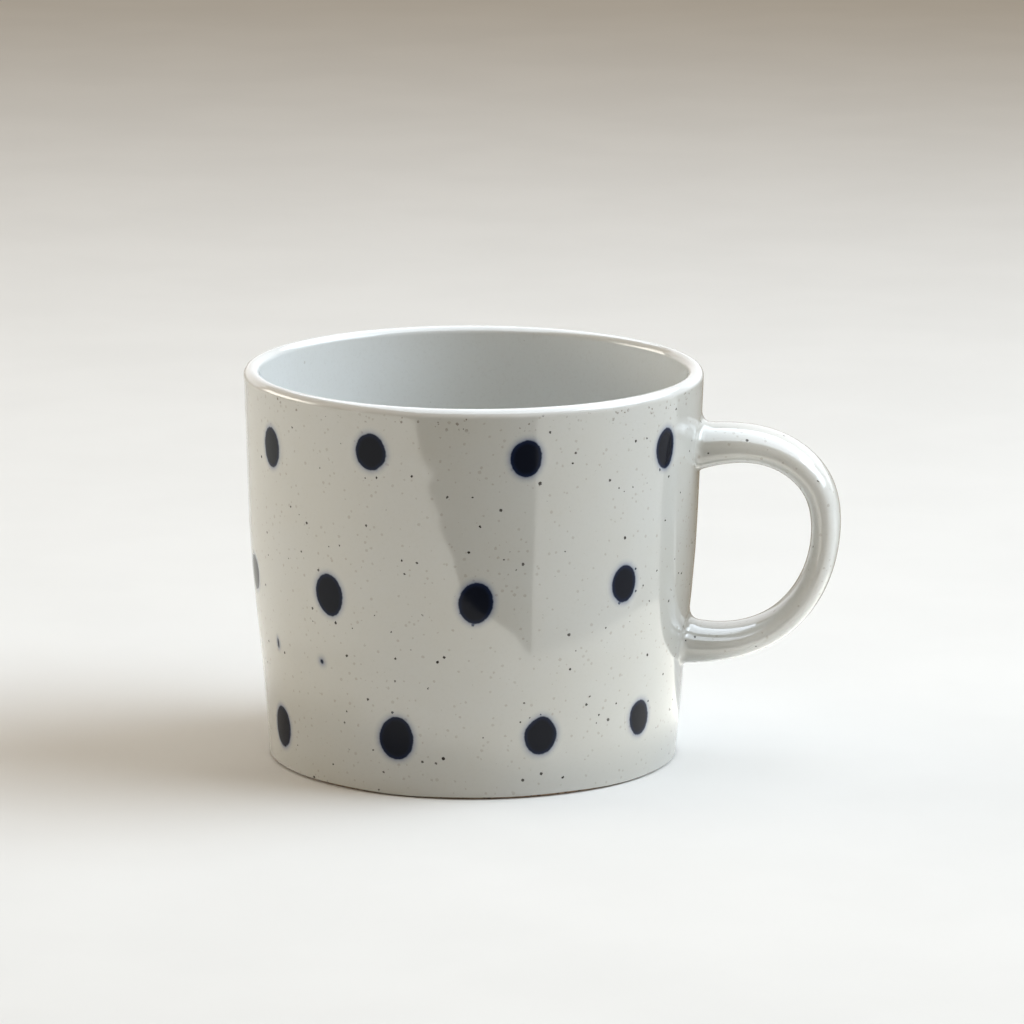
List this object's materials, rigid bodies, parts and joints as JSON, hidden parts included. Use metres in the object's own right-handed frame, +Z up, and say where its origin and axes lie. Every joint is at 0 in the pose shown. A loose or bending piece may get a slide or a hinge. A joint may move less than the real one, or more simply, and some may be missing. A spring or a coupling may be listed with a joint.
{
  "type": "stoneware mug",
  "caption": "Straight-sided glazed stoneware mug with a round strap handle and hand-brushed polka dots.",
  "frame": {"origin": "the cup's axis, in the plane of the foot ring", "axes": "+Z up along the cup's axis, +X towards the handle, which lies in the XZ plane"},
  "size_m": [0.1172, 0.09, 0.0772],
  "materials": {
    "bare_clay": "unglazed fired stoneware, matte and slightly sandy",
    "slip": "smooth fired slip, under the glaze",
    "speckled_glaze": "glossy warm grey-white glaze with fine iron specks",
    "liner_glaze": "glossy grey-white glaze with few specks",
    "cobalt": "brushed near-black blue under gloss"
  },
  "bodies": {
    "root": {"cup_body": "bare_clay", "handle": "bare_clay", "upper_handle_join": "slip", "lower_handle_join": "slip", "outer_glaze": "speckled_glaze", "handle_glaze": "speckled_glaze", "liner_glaze": "liner_glaze", "base_glaze": "liner_glaze", "cobalt_dots": "cobalt"}
  },
  "joints": []
}
